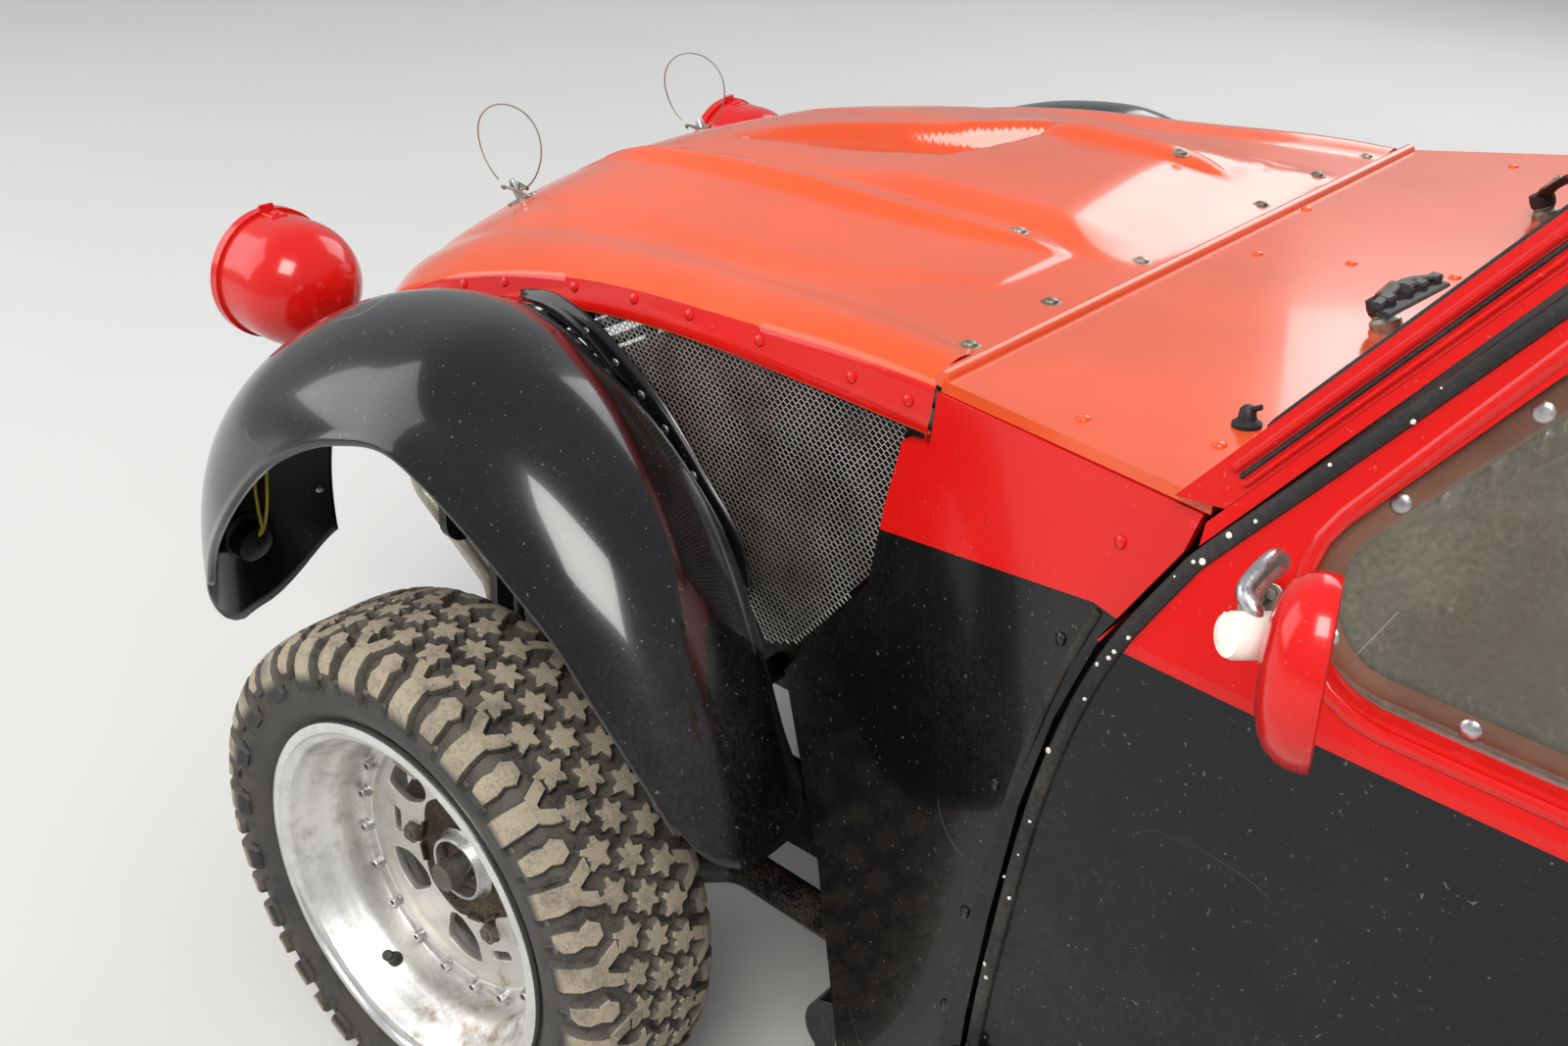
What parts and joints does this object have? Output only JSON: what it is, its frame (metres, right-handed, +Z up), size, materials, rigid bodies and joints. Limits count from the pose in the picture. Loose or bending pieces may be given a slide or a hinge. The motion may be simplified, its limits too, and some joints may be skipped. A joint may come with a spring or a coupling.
{
  "type": "rally car",
  "caption": "Compact two-seat rally car with hinged doors, bonnet and boot lid, steered front wheels and knobbly tyres on dished alloy rims.",
  "frame": {"origin": "middle of the overall length and width, on the ground under the tyres", "axes": "+X forward along the car, +Y to the driver's left, +Z up"},
  "size_m": [3.78, 1.6746, 1.3895],
  "materials": {
    "red_paint": "gloss",
    "black_paint": "gloss",
    "black_frame": "satin",
    "alloy_sheet": "brushed",
    "mesh_alloy": "satin",
    "wheel_alloy": "polished",
    "cast_metal": "cast",
    "steel_tube": "satin",
    "black_plastic": "satin",
    "seat_shell": "woven",
    "clear_glass": "clear",
    "lamp_glass": "clear",
    "red_lamp": "gloss",
    "tyre_rubber": "dusty"
  },
  "bodies": {
    "chassis": {"body_side_left": "red_paint", "body_side_right": "red_paint", "boot_floor": "alloy_sheet", "bulkhead": "alloy_sheet", "cabin_glass": "clear_glass", "chassis_frame": "black_frame", "dashboard": "black_plastic", "driveshafts": "steel_tube", "engine_block": "cast_metal", "exhaust": "steel_tube", "floor_pan": "alloy_sheet", "front_grille": "black_plastic", "front_wing_left": "black_paint", "front_wing_right": "black_paint", "headlamp_bar": "steel_tube", "headlamp_lenses": "lamp_glass", "headlamps": "red_paint", "rack_housing": "cast_metal", "rear_bumper": "steel_tube", "rear_lamps": "red_lamp", "rear_wings": "black_paint", "roll_cage": "black_frame", "roof_panel": "red_paint", "scuttle_sides": "red_paint", "scuttle_top": "red_paint", "seats": "seat_shell", "side_meshes": "mesh_alloy", "spring_units": "steel_tube", "steering_wheel": "black_plastic", "suspension_arms": "black_frame", "tail_panel": "red_paint", "tow_eyes": "steel_tube", "windscreen_frame": "red_paint", "wipers": "black_plastic"},
    "bonnet": {"bonnet_panel": "red_paint"},
    "boot_lid": {"boot_lid": "red_paint"},
    "door_left": {"door_left": "red_paint", "door_window_left": "clear_glass", "mirror_left": "red_paint"},
    "door_right": {"door_right": "red_paint", "door_window_right": "clear_glass", "mirror_right": "red_paint"},
    "knuckle_left": {"knuckle_left": "cast_metal"},
    "knuckle_right": {"knuckle_right": "cast_metal"},
    "track_rod": {"track_rod": "steel_tube"},
    "wheel_front_left": {"rim_front_left": "wheel_alloy", "tyre_front_left": "tyre_rubber"},
    "wheel_front_right": {"rim_front_right": "wheel_alloy", "tyre_front_right": "tyre_rubber"},
    "wheel_rear_left": {"rim_rear_left": "wheel_alloy", "tyre_rear_left": "tyre_rubber"},
    "wheel_rear_right": {"rim_rear_right": "wheel_alloy", "tyre_rear_right": "tyre_rubber"}
  },
  "joints": [
    {"name": "bonnet_hinge", "type": "hinge", "parent": "chassis", "child": "bonnet", "pos_m": [0.838, 0, 0.96], "axis": [0, -1, 0], "range_deg": [0, 60]},
    {"name": "boot_hinge", "type": "hinge", "parent": "chassis", "child": "boot_lid", "pos_m": [-1.277, 0, 1.1089], "axis": [0, 1, 0], "range_deg": [0, 70]},
    {"name": "door_left_hinge", "type": "hinge", "parent": "chassis", "child": "door_left", "pos_m": [0.653, 0.667, 0.4], "axis": [0, 0, -1], "range_deg": [0, 65]},
    {"name": "door_right_hinge", "type": "hinge", "parent": "chassis", "child": "door_right", "pos_m": [0.653, -0.667, 0.4], "axis": [0, 0, 1], "range_deg": [0, 65]},
    {"name": "steer_left", "type": "hinge", "parent": "chassis", "child": "knuckle_left", "pos_m": [1.265, 0.56, 0.3], "axis": [0, 0, 1], "range_deg": [-30, 30]},
    {"name": "steer_right", "type": "hinge", "parent": "chassis", "child": "knuckle_right", "pos_m": [1.265, -0.56, 0.3], "axis": [0, 0, 1], "range_deg": [-30, 30]},
    {"name": "track_rod_slide", "type": "slide", "parent": "chassis", "child": "track_rod", "axis": [0, 1, 0], "range_m": [-0.066, 0.066]},
    {"name": "wheel_front_left_spin", "type": "hinge", "parent": "knuckle_left", "child": "wheel_front_left", "pos_m": [1.265, 0.677, 0.3], "axis": [0, 1, 0], "continuous": true},
    {"name": "wheel_front_right_spin", "type": "hinge", "parent": "knuckle_right", "child": "wheel_front_right", "pos_m": [1.265, -0.677, 0.3], "axis": [0, 1, 0], "continuous": true},
    {"name": "wheel_rear_left_spin", "type": "hinge", "parent": "chassis", "child": "wheel_rear_left", "pos_m": [-1.135, 0.677, 0.3], "axis": [0, 1, 0], "continuous": true},
    {"name": "wheel_rear_right_spin", "type": "hinge", "parent": "chassis", "child": "wheel_rear_right", "pos_m": [-1.135, -0.677, 0.3], "axis": [0, 1, 0], "continuous": true}
  ],
  "couplings": [
    {"joint": "steer_right", "follows": "steer_left", "ratio": 1},
    {"joint": "track_rod_slide", "follows": "steer_left", "m_per_rad": 0.125}
  ]
}
